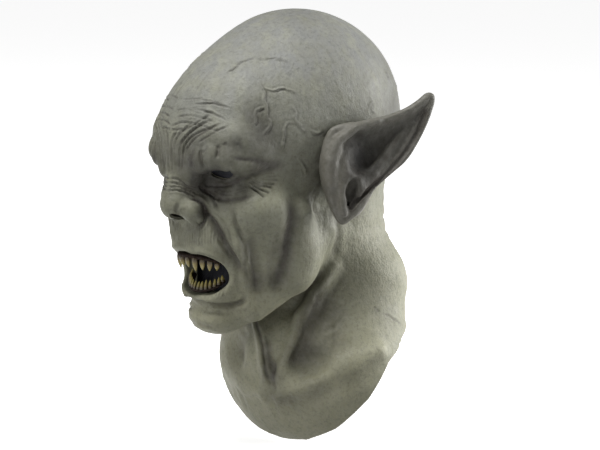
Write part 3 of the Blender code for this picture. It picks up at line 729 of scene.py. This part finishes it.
def relief(p):
    """How far the skin stands proud of the plain forms, and its painted shade: (rise, crease, shade)."""
    wander = drift(p)
    q, own = folded(p) + wander, p + wander
    rise, crease = marks(q, own)
    lid, under_brow = eye_ring(q), np.clip((q[:, 1] + 99) / 4, 0, 1) * (q[:, 1] < -55)
    rise += under_brow * (1.4 * bell(lid, 1.8, 1.2) - 1.2 * bell(lid, 5.2, 1.0))
    # painted shade in the fold under the brow, round the eye
    crease = np.maximum(crease, 0.9 * under_brow * bell(lid, 5.2, 1.2))
    # a groove up the nape under the slit, with painted shade in it
    seam = bell(p[:, 0], 0, 1.3) * np.clip((SLIT_TOP[2] - p[:, 2]) / 3, 0, 1) * (p[:, 1] > BACK_ONLY)
    rise, crease = rise - 0.8 * seam, np.maximum(crease, 0.9 * seam)
    rise += 1.2 * bell(mouth_rim(q), 3.6, 2.4)  # the lips' roll
    calm = 1 - 0.6 * np.clip((p[:, 2] - 70) / 40, 0, 1)
    rise += calm * sum(height * noise(p, size, seed) for height, size, seed in GRAIN)
    shade = np.zeros(len(p))
    for places, spots in ((q, SHADES), (own, NECK_SHADES)):
        for centre, radius, dark in spots:
            spot = dark * np.exp(-((places - centre) ** 2).sum(1) / radius ** 2)
            shade = np.maximum(shade, spot) + 0.35 * np.minimum(shade, spot)
    edge = np.clip(np.minimum(np.minimum(np.abs(nostril_hole(p)), np.abs(canal_hole(p))), 3) / 3, 0, 1)
    return rise * edge, np.clip(crease, 0, 1), np.clip(shade, 0, 1)


# ---------------------------------------------------------------- meshes

made = []  # every visual piece and its slot


def add_mesh(name, points, faces, body, node, slot, loop_normals=None, paint=None):
    mesh = bpy.data.meshes.new(name)
    points, faces = np.asarray(points, float) * MM, [tuple(map(int, f)) for f in faces]
    mesh.from_pydata([tuple(p) for p in points], [], faces)
    mesh.update()
    mesh.polygons.foreach_set("use_smooth", [True] * len(mesh.polygons))
    for key, values in (paint or {}).items():
        layer = mesh.attributes.new(key, "FLOAT", "POINT")
        layer.data.foreach_set("value", np.asarray(values, np.float32))
    if loop_normals is not None:
        mesh.normals_split_custom_set(loop_normals)
    thing = bpy.data.objects.new(name, mesh)
    bpy.context.scene.collection.objects.link(thing)
    if body:
        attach(thing, body)
    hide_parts(node)
    made.append((thing, slot))
    return thing


def shell(points, faces, direction, depth, wall, base=None, outer_normals=None):
    """Give a cut sheet its thickness. Returns points, faces, loop normals and the old index of each point."""
    used = np.unique(faces)
    renumber = np.full(len(points), -1)
    renumber[used] = np.arange(len(used))
    faces, p = renumber[faces], points[used]
    base = p if base is None else base[used]
    n = direction[used]
    count = len(p)
    ring = np.concatenate([faces[:, [0, 1]], faces[:, [1, 2]], faces[:, [2, 0]]])
    key, back = ring[:, 0] * count + ring[:, 1], ring[:, 1] * count + ring[:, 0]
    open_edges = ring[~np.isin(back, key)]
    a, b = open_edges[:, 1], open_edges[:, 0]
    rim = np.stack([a, b, b + count, a + count], 1)
    top, bottom = p - depth * n, base - (depth + wall) * n
    verts = np.concatenate([top, bottom])
    under = faces[:, ::-1] + count
    out_n = n if outer_normals is None else outer_normals[used]
    rim_n = np.cross(verts[rim[:, 1]] - verts[rim[:, 0]], verts[rim[:, 3]] - verts[rim[:, 0]])
    rim_n /= np.linalg.norm(rim_n, axis=1)[:, None] + 1e-9
    loops = np.concatenate([out_n[faces.ravel()], -n[(under - count).ravel()], np.repeat(rim_n, 4, axis=0)])
    return verts, list(map(tuple, faces)) + list(map(tuple, under)) + list(map(tuple, rim)), loops, used


def mesh_normals(points, faces):
    cross = np.cross(points[faces[:, 1]] - points[faces[:, 0]], points[faces[:, 2]] - points[faces[:, 0]])
    out = np.zeros_like(points)
    for k in range(3):
        np.add.at(out, faces[:, k], cross)
    return out / (np.linalg.norm(out, axis=1)[:, None] + 1e-12)


# the casting, on a grid that is fine over the face and the front of the neck
half = grid_lines((0, 64, FINE), (64, 112, COARSE))
across = np.concatenate([-half[:0:-1], half])
deep = grid_lines((-140, -36, FINE), (-36, 130, COARSE))
tall = grid_lines((-252, -128, COARSE), (-128, 88, FINE), (88, 152, COARSE))
left_half = grid_field(HEAD, (half, deep, tall), np.full((len(half), len(deep), len(tall)), EMPTY))
both = grid_field(NECK, (across, deep, tall), np.concatenate([left_half[:0:-1], left_half]))
sheet = surface(head, (across, deep, tall), both)
points, faces, _ = cut(*sheet, hem, 0.5 * COARSE)
whole = (points, faces)
for hole, snap in ((eye_hole, 0.5), (nostril_hole, 0.4), (canal_hole, 0.6), (mouth_hole, 0.5)):
    points, faces, _ = cut(points, faces, hole, snap * FINE)
points, rear, front = cut(points, faces, fold, 0.4 * COARSE)
points, rear_left, rest = cut(points, rear, slit, 0.4 * COARSE)
points, rear_right, _ = cut(points, rest, lambda p: slit(p * (-1, 1, 1)), 0.4 * COARSE)

direction = normals_of(head, points)
rise, crease, shade = relief(points)
# painted shade, nearly black, just inside the mouth's rim
deep_shade = np.clip((1.0 - mouth_rim(points)) / 3.0, 0, 1) * (points[:, 1] < -60)
outer = points + rise[:, None] * direction
pressed = points + np.minimum(rise, 0)[:, None] * direction  # so that a deep crease doesn't break the wall
soft_normals = mesh_normals(outer, np.concatenate([front, rear_left, rear_right]))
for name, part, body, node in (("skin_front", front, "mask", "head_skin"),
                               ("skin_flap_left", rear_left, "flap_left", "rear_flap_left"),
                               ("skin_flap_right", rear_right, "flap_right", "rear_flap_right")):
    verts, polys, loops, used = shell(outer, part, direction, 0, WALL, pressed, soft_normals)
    paint = {key: np.tile(values[used], 2) for key, values in
             (("crease", crease), ("shade", shade), ("deep_shade", deep_shade))}
    paint["inside"] = np.repeat([0.0, 1.0], len(used))
    still = body == "mask"
    thing = add_mesh(name, verts, polys, body if still else None, node, "skin_latex", loops, paint)
    if not still:
        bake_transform(thing)


# gauze glued behind the eye openings and the back of the mouth
def gauze(name, inside, node, mirror=False):
    p, f, _ = cut(*whole, inside, 0.5)
    verts, polys, loops, _ = shell(p, f, normals_of(head, p), WALL + GAUZE_GAP, GAUZE)
    if mirror:
        verts, polys, loops = verts * (-1, 1, 1), [tuple(q[::-1]) for q in polys], None
    add_mesh(name, verts, polys, "mask", node, "gauze", loops)


def left_eye_patch(p):
    return np.minimum(-eye_hole(p, 4.0), p[..., 0] - 5)


for side, mirror in (("left", False), ("right", True)):
    gauze("gauze_eye_" + side, left_eye_patch, "eye_screen_" + side, mirror)
gauze("gauze_mouth", lambda p: -mouth_hole(p, 2.0), "mouth_screen")


# ears
def near(q, centre, size):
    return np.exp(-(((q - centre) / size) ** 2).sum(1))


ear_axes = (grid_lines((-20, 18, EAR_CELL)), grid_lines((-26, 94, EAR_CELL)), grid_lines((-36, 88, EAR_CELL)))
q, ear_faces = surface(ear, ear_axes, ear(np.stack(np.meshgrid(*ear_axes, indexing="ij"), -1)))
ear_n = normals_of(ear, q)
lump = 0.5 * noise(q, 13, 20) + 0.3 * noise(q, 5, 21) + 0.2 * noise(q * (1, 1, 0.4), 3.2, 22)
ear_edge = outline_distance(q[:, 1], q[:, 2], EAR_OUTLINE)
facing = np.clip(ear_n[:, 0] * 1.8 + 0.1, 0, 1)  # the painted shade is on the front of the leaf
within = np.clip((-ear_edge - 5) / 5, 0, 1) * np.clip((q[:, 1] - 0.12 * q[:, 2]) / 8, 0, 1)
# painted shade: nearly black deep in the concha and the canal
concha = np.clip(1.3 * near(q, (1, 21, 28), (8, 8, 13)) - 0.35, 0, 0.7)
canal = np.clip(2.4 * near(q, (1, 9, -12), (6, 2.6, 5)) - 0.8, 0, 1)
# painted shade in the groove inside the rear rim (crease) and over the ear's bowl (shade)
ear_paint = {"crease": facing * bell(along(q, REAR_RIM)[0], 1.0, 3.0),
             "shade": np.clip(facing * (0.62 * within + 1.1 * near(q, (2, 22, 27), (12, 12, 16))), 0, 1),
             "deep_shade": 0.9 * facing * np.maximum(concha, canal),
             "inside": np.zeros(len(q))}
ear_verts = from_ear(q + (lump * np.clip(-ear_edge / 3, 0.2, 1))[:, None] * ear_n)
for side, way in (("left", 1), ("right", -1)):
    verts, polys = ear_verts * (way, 1, 1), ear_faces[:, ::way]
    add_mesh("ear_skin_" + side, verts, polys, "mask", "ear_" + side, "ear_latex", paint=ear_paint)


# gums and teeth
def arch_point(arch, place, step=2.5):
    """The point at a place along the arch, and the way out of the mouth there."""
    pts = np.array(arch, float)
    at = np.concatenate([[0], np.cumsum(np.linalg.norm(np.diff(pts, axis=0), axis=1))])
    here, ahead, behind = (np.array([np.interp(place + d, at, pts[:, k]) for k in range(2)])
                           for d in (0, step, -step))
    run = (ahead - behind) / np.linalg.norm(ahead - behind)
    return here, np.array([run[1], -run[0]])


def arch_length(arch):
    return sum(np.hypot(b[0] - a[0], b[1] - a[1]) for a, b in zip(arch[:-1], arch[1:]))


def lofted(verts, ring):
    """A closed solid from rings of points, with its faces outwards."""
    p, last = np.asarray(verts, float), len(verts) - ring
    polys = []
    for i in range(last):
        b = i + 1 - ring * (i % ring == ring - 1)
        polys.append((i, b, b + ring, i + ring))
    polys += [tuple(range(ring))[::-1], tuple(range(last, last + ring))]
    volume = sum(np.dot(p[f[0]], np.cross(p[f[k]], p[f[k + 1]]))
                 for f in polys for k in range(1, len(f) - 1))
    return p, polys if volume > 0 else [f[::-1] for f in polys]


def gum(name, arch, z, rise, height, depth, row, up):
    """A soft bar along the arch, swollen round each tooth."""
    total = arch_length(arch)
    stops, ring = np.linspace(-total, total, 121), 20
    verts = []
    for i, stop in enumerate(stops):
        here, out = arch_point(arch, abs(stop))
        scale = 1 - 0.3 * (abs(stop) / total) ** 4
        swell = max(math.exp(-((abs(stop) - place) / 2.0) ** 2) for place, _ in row)
        for k in range(ring):
            a = 2 * np.pi * k / ring
            reach = 0.5 * depth * scale * (0.84 + 0.2 * swell)
            xy = here + (reach * np.cos(a) - 1.2) * out
            tall = 0.5 * height * scale * (0.95 + (0.35 * swell if np.sin(a) * up > 0 else 0))
            wave = 0.25 * math.sin(1.9 * i + 2 * a)
            verts.append((xy[0] * (-1 if stop < 0 else 1), xy[1],
                          z + rise * (abs(stop) / total) ** 2.5 + tall * np.sin(a) + wave))
    add_mesh(name + "_flesh", *lofted(verts, ring), "mask", name, "gum_latex")


def tooth(jaw, number, arch, z, rise, place, length, width, side):
    """A hooked, slightly ribbed cone standing on the gum."""
    here, out = arch_point(arch, place)
    run = np.array([-out[1], out[0]])
    root = z + rise * (place / arch_length(arch)) ** 2.5
    lean, twist, fatter = 0.12 * rng.normal(), rng.random() * 6.28, 1 + 0.08 * rng.normal()
    around, levels = 20, 14
    verts = []
    for j in range(levels + 1):
        t = j / levels
        fat = fatter * (0.9 + 0.42 * t - 0.5 * t * t) * (1 - t ** 2.1) ** 0.75 + 0.02
        for k in range(around):
            a = 2 * np.pi * k / around
            rib = 1 + 0.035 * math.sin(3 * a + twist) * (1 - t)
            xy = (here + run * (0.5 * width * fat * rib * np.cos(a) + lean * t * 3)
                  + out * (0.42 * width * fat * rib * np.sin(a) + 0.5 - 1.5 * t * t))
            verts.append((side * xy[0], xy[1], root + length * (t - 0.12 * (1 - t))))
    verts, polys = lofted(verts, around)
    height = np.clip(np.abs(verts[:, 2] - root) / abs(length), 0, 1)
    add_mesh(f"{jaw}_fang_{number:02d}", verts, polys, "mask", f"{jaw}_tooth_{number:02d}", "teeth",
             paint={"height": height})


for jaw, arch, bar, row, up, width in (("upper", UPPER_ARCH, UPPER_GUM, UPPER_TEETH, -1, 5.0),
                                       ("lower", LOWER_ARCH, LOWER_GUM, LOWER_TEETH, 1, 3.3)):
    gum(jaw + "_gum", arch, *bar, row, up)
    root = bar[0] + up * 0.5 * bar[2]
    places = [(side, *entry) for side in (1, -1) for entry in row]
    for number, (side, place, length) in enumerate(places, 1):
        tooth(jaw, number, arch, root, bar[1], place, up * length, width, side)


# ---------------------------------------------------------------- materials

class Shader:
    """A material whose nodes are added and wired in one call each."""

    def __init__(self, name):
        self.material = bpy.data.materials.new(name)
        self.material.use_nodes = True
        self.tree = self.material.node_tree
        self.bsdf = self.tree.nodes["Principled BSDF"]
        self.where = self.node("ShaderNodeTexCoord").outputs["Object"]

    def node(self, kind, sockets=(), **settings):
        made = self.tree.nodes.new(kind)
        for key, value in settings.items():
            setattr(made, key, value)
        for key, value in dict(sockets).items():
            self.feed(made.inputs[key], value)
        return made

    def feed(self, socket, value):
        if isinstance(value, bpy.types.NodeSocket):
            self.tree.links.new(value, socket)
        else:
            socket.default_value = value

    def set(self, **values):
        for key, value in values.items():
            self.feed(self.bsdf.inputs[key.replace("_", " ")], value)

    def paint(self, key):
        return self.node("ShaderNodeAttribute", attribute_name=key).outputs["Fac"]

    def noise(self, scale, detail=3.0, rough=0.5, stretch=None):
        where = self.where
        if stretch:
            where = self.node("ShaderNodeMapping", {"Vector": where, "Scale": stretch}).outputs[0]
        return self.node("ShaderNodeTexNoise", {"Vector": where, "Scale": scale, "Detail": detail,
                                                "Roughness": rough}).outputs["Fac"]

    def ramp(self, value, low, high, to_low=0.0, to_high=1.0):
        return self.node("ShaderNodeMapRange", {"Value": value, "From Min": low, "From Max": high,
                                                "To Min": to_low, "To Max": to_high}).outputs[0]

    def math(self, how, a, b=0.0, c=0.0):
        return self.node("ShaderNodeMath", {0: a, 1: b, 2: c}, operation=how).outputs[0]

    def mix(self, amount, a, b, how="MIX"):
        made = self.node("ShaderNodeMix", data_type="RGBA", blend_type=how)
        for key, value in ((0, amount), (6, a), (7, b)):
            self.feed(made.inputs[key], value)
        return made.outputs[2]

    def bump(self, height, strength, distance, under=None):
        made = self.node("ShaderNodeBump", {"Height": height, "Strength": strength, "Distance": distance})
        if under is not None:
            self.feed(made.inputs["Normal"], under)
        return made.outputs[0]


def colour(r, g, b):
    return (r, g, b, 1.0)


def tinted(paint, amount):
    return colour(*(min(1, amount * c) for c in paint[:3]))


def latex(name, light, cool, green, dark):
    """Airbrushed latex: cool crown, greener neck, painted light on the nape, painted shade in hollows,
    specks, skin grain.
    """
    s = Shader(name)
    place = s.node("ShaderNodeSeparateXYZ", {"Vector": s.where}).outputs
    wide, mid, fine = s.noise(9, 4), s.noise(38, 4, 0.6), s.noise(160, 3, 0.6)
    streak, mottle = s.noise(60, 4, 0.6, stretch=(1.6, 1.6, 0.35)), s.noise(330, 3, 0.7)
    height = s.math("ADD", place["Z"], s.math("MULTIPLY", s.math("SUBTRACT", wide, 0.5), 0.10))
    tone = s.mix(s.ramp(height, 0.015, 0.105), light, cool)
    tone = s.mix(s.ramp(height, -0.02, -0.12), tone, green)
    tone = s.mix(s.ramp(mid, 0.42, 0.68, 0.0, 0.35), tone, tinted(green, 0.74))
    tone = s.mix(s.ramp(streak, 0.48, 0.72, 0.0, 0.42), tone, tinted(light, 1.28))
    # painted light: paler towards the back of the neck
    nape = s.math("MULTIPLY", s.ramp(place["Y"], 0.0, 0.035), s.ramp(place["Z"], 0.0, -0.045))
    tone = s.mix(s.math("MULTIPLY", nape, 0.75), tone, colour(0.27, 0.268, 0.195))
    crease, shade, deep_shade = s.paint("crease"), s.paint("shade"), s.paint("deep_shade")
    # painted shade in the hollows, made patchy with noise, mixed towards the dark colour
    patchy_shade = s.math("MULTIPLY", shade, s.ramp(wide, 0.25, 0.7, 0.75, 1.1))
    tone = s.mix(s.math("MINIMUM", patchy_shade, 0.95), tone, dark)
    # painted shade in the creases, broken up with noise
    broken = s.math("MULTIPLY", crease, s.ramp(mid, 0.3, 0.65, 0.68, 1.0))
    tone = s.mix(broken, tone, colour(0.013, 0.008, 0.0055))
    cells = s.node("ShaderNodeTexVoronoi", {"Vector": s.where, "Scale": 95.0, "Randomness": 1.0})
    speck = s.math("MULTIPLY", s.ramp(cells.outputs["Distance"], 0.10, 0.04), s.ramp(wide, 0.52, 0.6))
    tone = s.mix(s.math("MULTIPLY", speck, 0.55), tone, colour(0.05, 0.04, 0.025))
    tone = s.mix(s.ramp(fine, 0.35, 0.75, 0.0, 0.16), tone, colour(0.26, 0.26, 0.24))
    tone = s.mix(s.ramp(mottle, 0.48, 0.75, 0.0, 0.4), tone, colour(0.035, 0.034, 0.024))
    # nearly black painted shade inside the mouth and deep in the ear
    tone = s.mix(deep_shade, tone, colour(0.006, 0.005, 0.005))
    bare = s.mix(mid, colour(0.20, 0.19, 0.14), colour(0.27, 0.26, 0.20))
    tone = s.mix(s.paint("inside"), tone, bare)
    rough = s.math("ADD", s.ramp(mid, 0.3, 0.7, 0.50, 0.66), s.math("MULTIPLY", shade, 0.10))
    s.set(Base_Color=tone, Roughness=rough, Specular_IOR_Level=0.36, IOR=1.45)
    pores = s.bump(s.noise(620, 2, 0.6), 0.5, 0.0006)
    lines = s.bump(s.noise(210, 5, 0.65, stretch=(1.3, 1.3, 0.75)), 0.6, 0.0010, under=pores)
    s.set(Normal=s.bump(mid, 0.35, 0.0022, under=lines))
    return s.material


def gum_material():
    s = Shader("gum_paint")
    lumps = s.noise(420, 4, 0.6)
    tone = s.mix(s.ramp(lumps, 0.35, 0.7), colour(0.007, 0.0045, 0.0035), colour(0.026, 0.015, 0.011))
    s.set(Base_Color=tone, Roughness=s.ramp(lumps, 0.3, 0.7, 0.6, 0.8), Specular_IOR_Level=0.12)
    s.set(Normal=s.bump(lumps, 0.5, 0.0006))
    return s.material


def tooth_material():
    s = Shader("tooth_paint")
    height = s.paint("height")
    stain, grain = s.noise(300, 4, 0.6), s.noise(520, 3, 0.6, stretch=(3, 3, 0.5))
    tone = s.mix(s.ramp(height, 0.15, 0.85), colour(0.10, 0.072, 0.012), colour(0.37, 0.32, 0.10))
    tone = s.mix(s.ramp(stain, 0.42, 0.66, 0.0, 0.6), tone, colour(0.10, 0.060, 0.012))
    tone = s.mix(s.ramp(height, 0.30, 0.0, 0.0, 0.95), tone, colour(0.020, 0.012, 0.005))
    s.set(Base_Color=tone, Roughness=s.ramp(stain, 0.3, 0.7, 0.3, 0.46), Specular_IOR_Level=0.4)
    s.set(Normal=s.bump(grain, 0.3, 0.0004))
    return s.material


def gauze_material():
    s = Shader("gauze_weave")
    place = s.node("ShaderNodeSeparateXYZ", {"Vector": s.where}).outputs
    warp, weft = (s.math("SINE", s.math("MULTIPLY", place[k], 6500.0)) for k in ("X", "Z"))
    weave = s.math("MULTIPLY", warp, weft)
    tone = s.mix(s.ramp(weave, -0.6, 0.8), colour(0.006, 0.006, 0.008), colour(0.040, 0.042, 0.052))
    s.set(Base_Color=tone, Roughness=0.75, Specular_IOR_Level=0.3, Normal=s.bump(weave, 0.6, 0.0004))
    return s.material


FINISHES = {
    "skin_latex": latex("skin_paint", light=colour(0.156, 0.158, 0.112), cool=colour(0.134, 0.137, 0.129),
                        green=colour(0.215, 0.211, 0.140), dark=colour(0.013, 0.0105, 0.007)),
    "ear_latex": latex("ear_paint", light=colour(0.082, 0.078, 0.062), cool=colour(0.080, 0.078, 0.066),
                       green=colour(0.085, 0.076, 0.056), dark=colour(0.010, 0.0085, 0.006)),
    "gum_latex": gum_material(), "teeth": tooth_material(), "gauze": gauze_material()}
for thing, slot in made:
    thing.data.materials.clear()
    thing.data.materials.append(FINISHES[slot])


# ---------------------------------------------------------------- floor, light and camera

def lit(name, base, strength, **settings):
    s = Shader(name)
    s.set(Base_Color=colour(base, base, base), Emission_Color=WHITE, Emission_Strength=strength, **settings)
    return s.material


WHITE = colour(1, 1, 1)
bpy.ops.mesh.primitive_plane_add(size=28, location=(0, 0, cad_box[0][2]))
floor = bpy.context.object
floor.name = "floor"
floor.data.materials.append(lit("floor_paint", 0.86, 0.68, Roughness=0.9, Specular_IOR_Level=0.1))
floor.visible_diffuse = False  # so that it doesn't light the mask from below

bpy.ops.mesh.primitive_uv_sphere_add(segments=48, ring_count=24, radius=18)
dome = bpy.context.object
dome.name = "white_sweep"
dome.data.materials.append(lit("sweep_white", 0, 1.0))
dome.visible_diffuse = dome.visible_glossy = dome.visible_shadow = dome.visible_transmission = False

world = bpy.data.worlds.new("studio")
world.use_nodes = True
world.node_tree.nodes["Background"].inputs["Color"].default_value = WHITE
world.node_tree.nodes["Background"].inputs["Strength"].default_value = 0.30
bpy.context.scene.world = world
bpy.context.scene.view_settings.view_transform = "Standard"


def aimed(name, data, place, direction):
    thing = bpy.data.objects.new(name, data)
    thing.location = place
    thing.rotation_euler = direction.to_track_quat("-Z", "Y").to_euler()
    bpy.context.scene.collection.objects.link(thing)
    return thing


def lamp(name, place, aim, width, power):
    light = bpy.data.lights.new(name, "AREA")
    light.shape, light.size, light.energy = "DISK", width, power
    aimed(name, light, place, Vector(aim) - place)


AZIMUTH, ELEVATION, DISTANCE, TARGET = 50, 9, 1.8, Vector((0.0087, 0.0104, -0.040))
a, e = math.radians(AZIMUTH), math.radians(ELEVATION)
back = Vector((math.sin(a) * math.cos(e), -math.cos(a) * math.cos(e), math.sin(e)))
right, up = Vector((math.cos(a), math.sin(a), 0)), Vector((0, 0, 1))
lamp("key", back * 0.5 - right * 0.35 + up * 1.7, (0, 0, 0.02), width=0.7, power=52)
lamp("side", back * -0.35 + right * 1.6 + up * 0.25, (0, 0, -0.05), width=1.2, power=50)
lamp("front", back * 1.1 - right * 1.5 + up * 0.2, (0, 0, -0.05), width=0.9, power=15)

camera = bpy.data.cameras.new("camera")
camera.lens, camera.sensor_width, camera.sensor_fit = 127, 36, "HORIZONTAL"
camera.clip_start, camera.clip_end = 0.05, 60
bpy.context.scene.camera = aimed("camera", camera, TARGET + back * DISTANCE, -back)
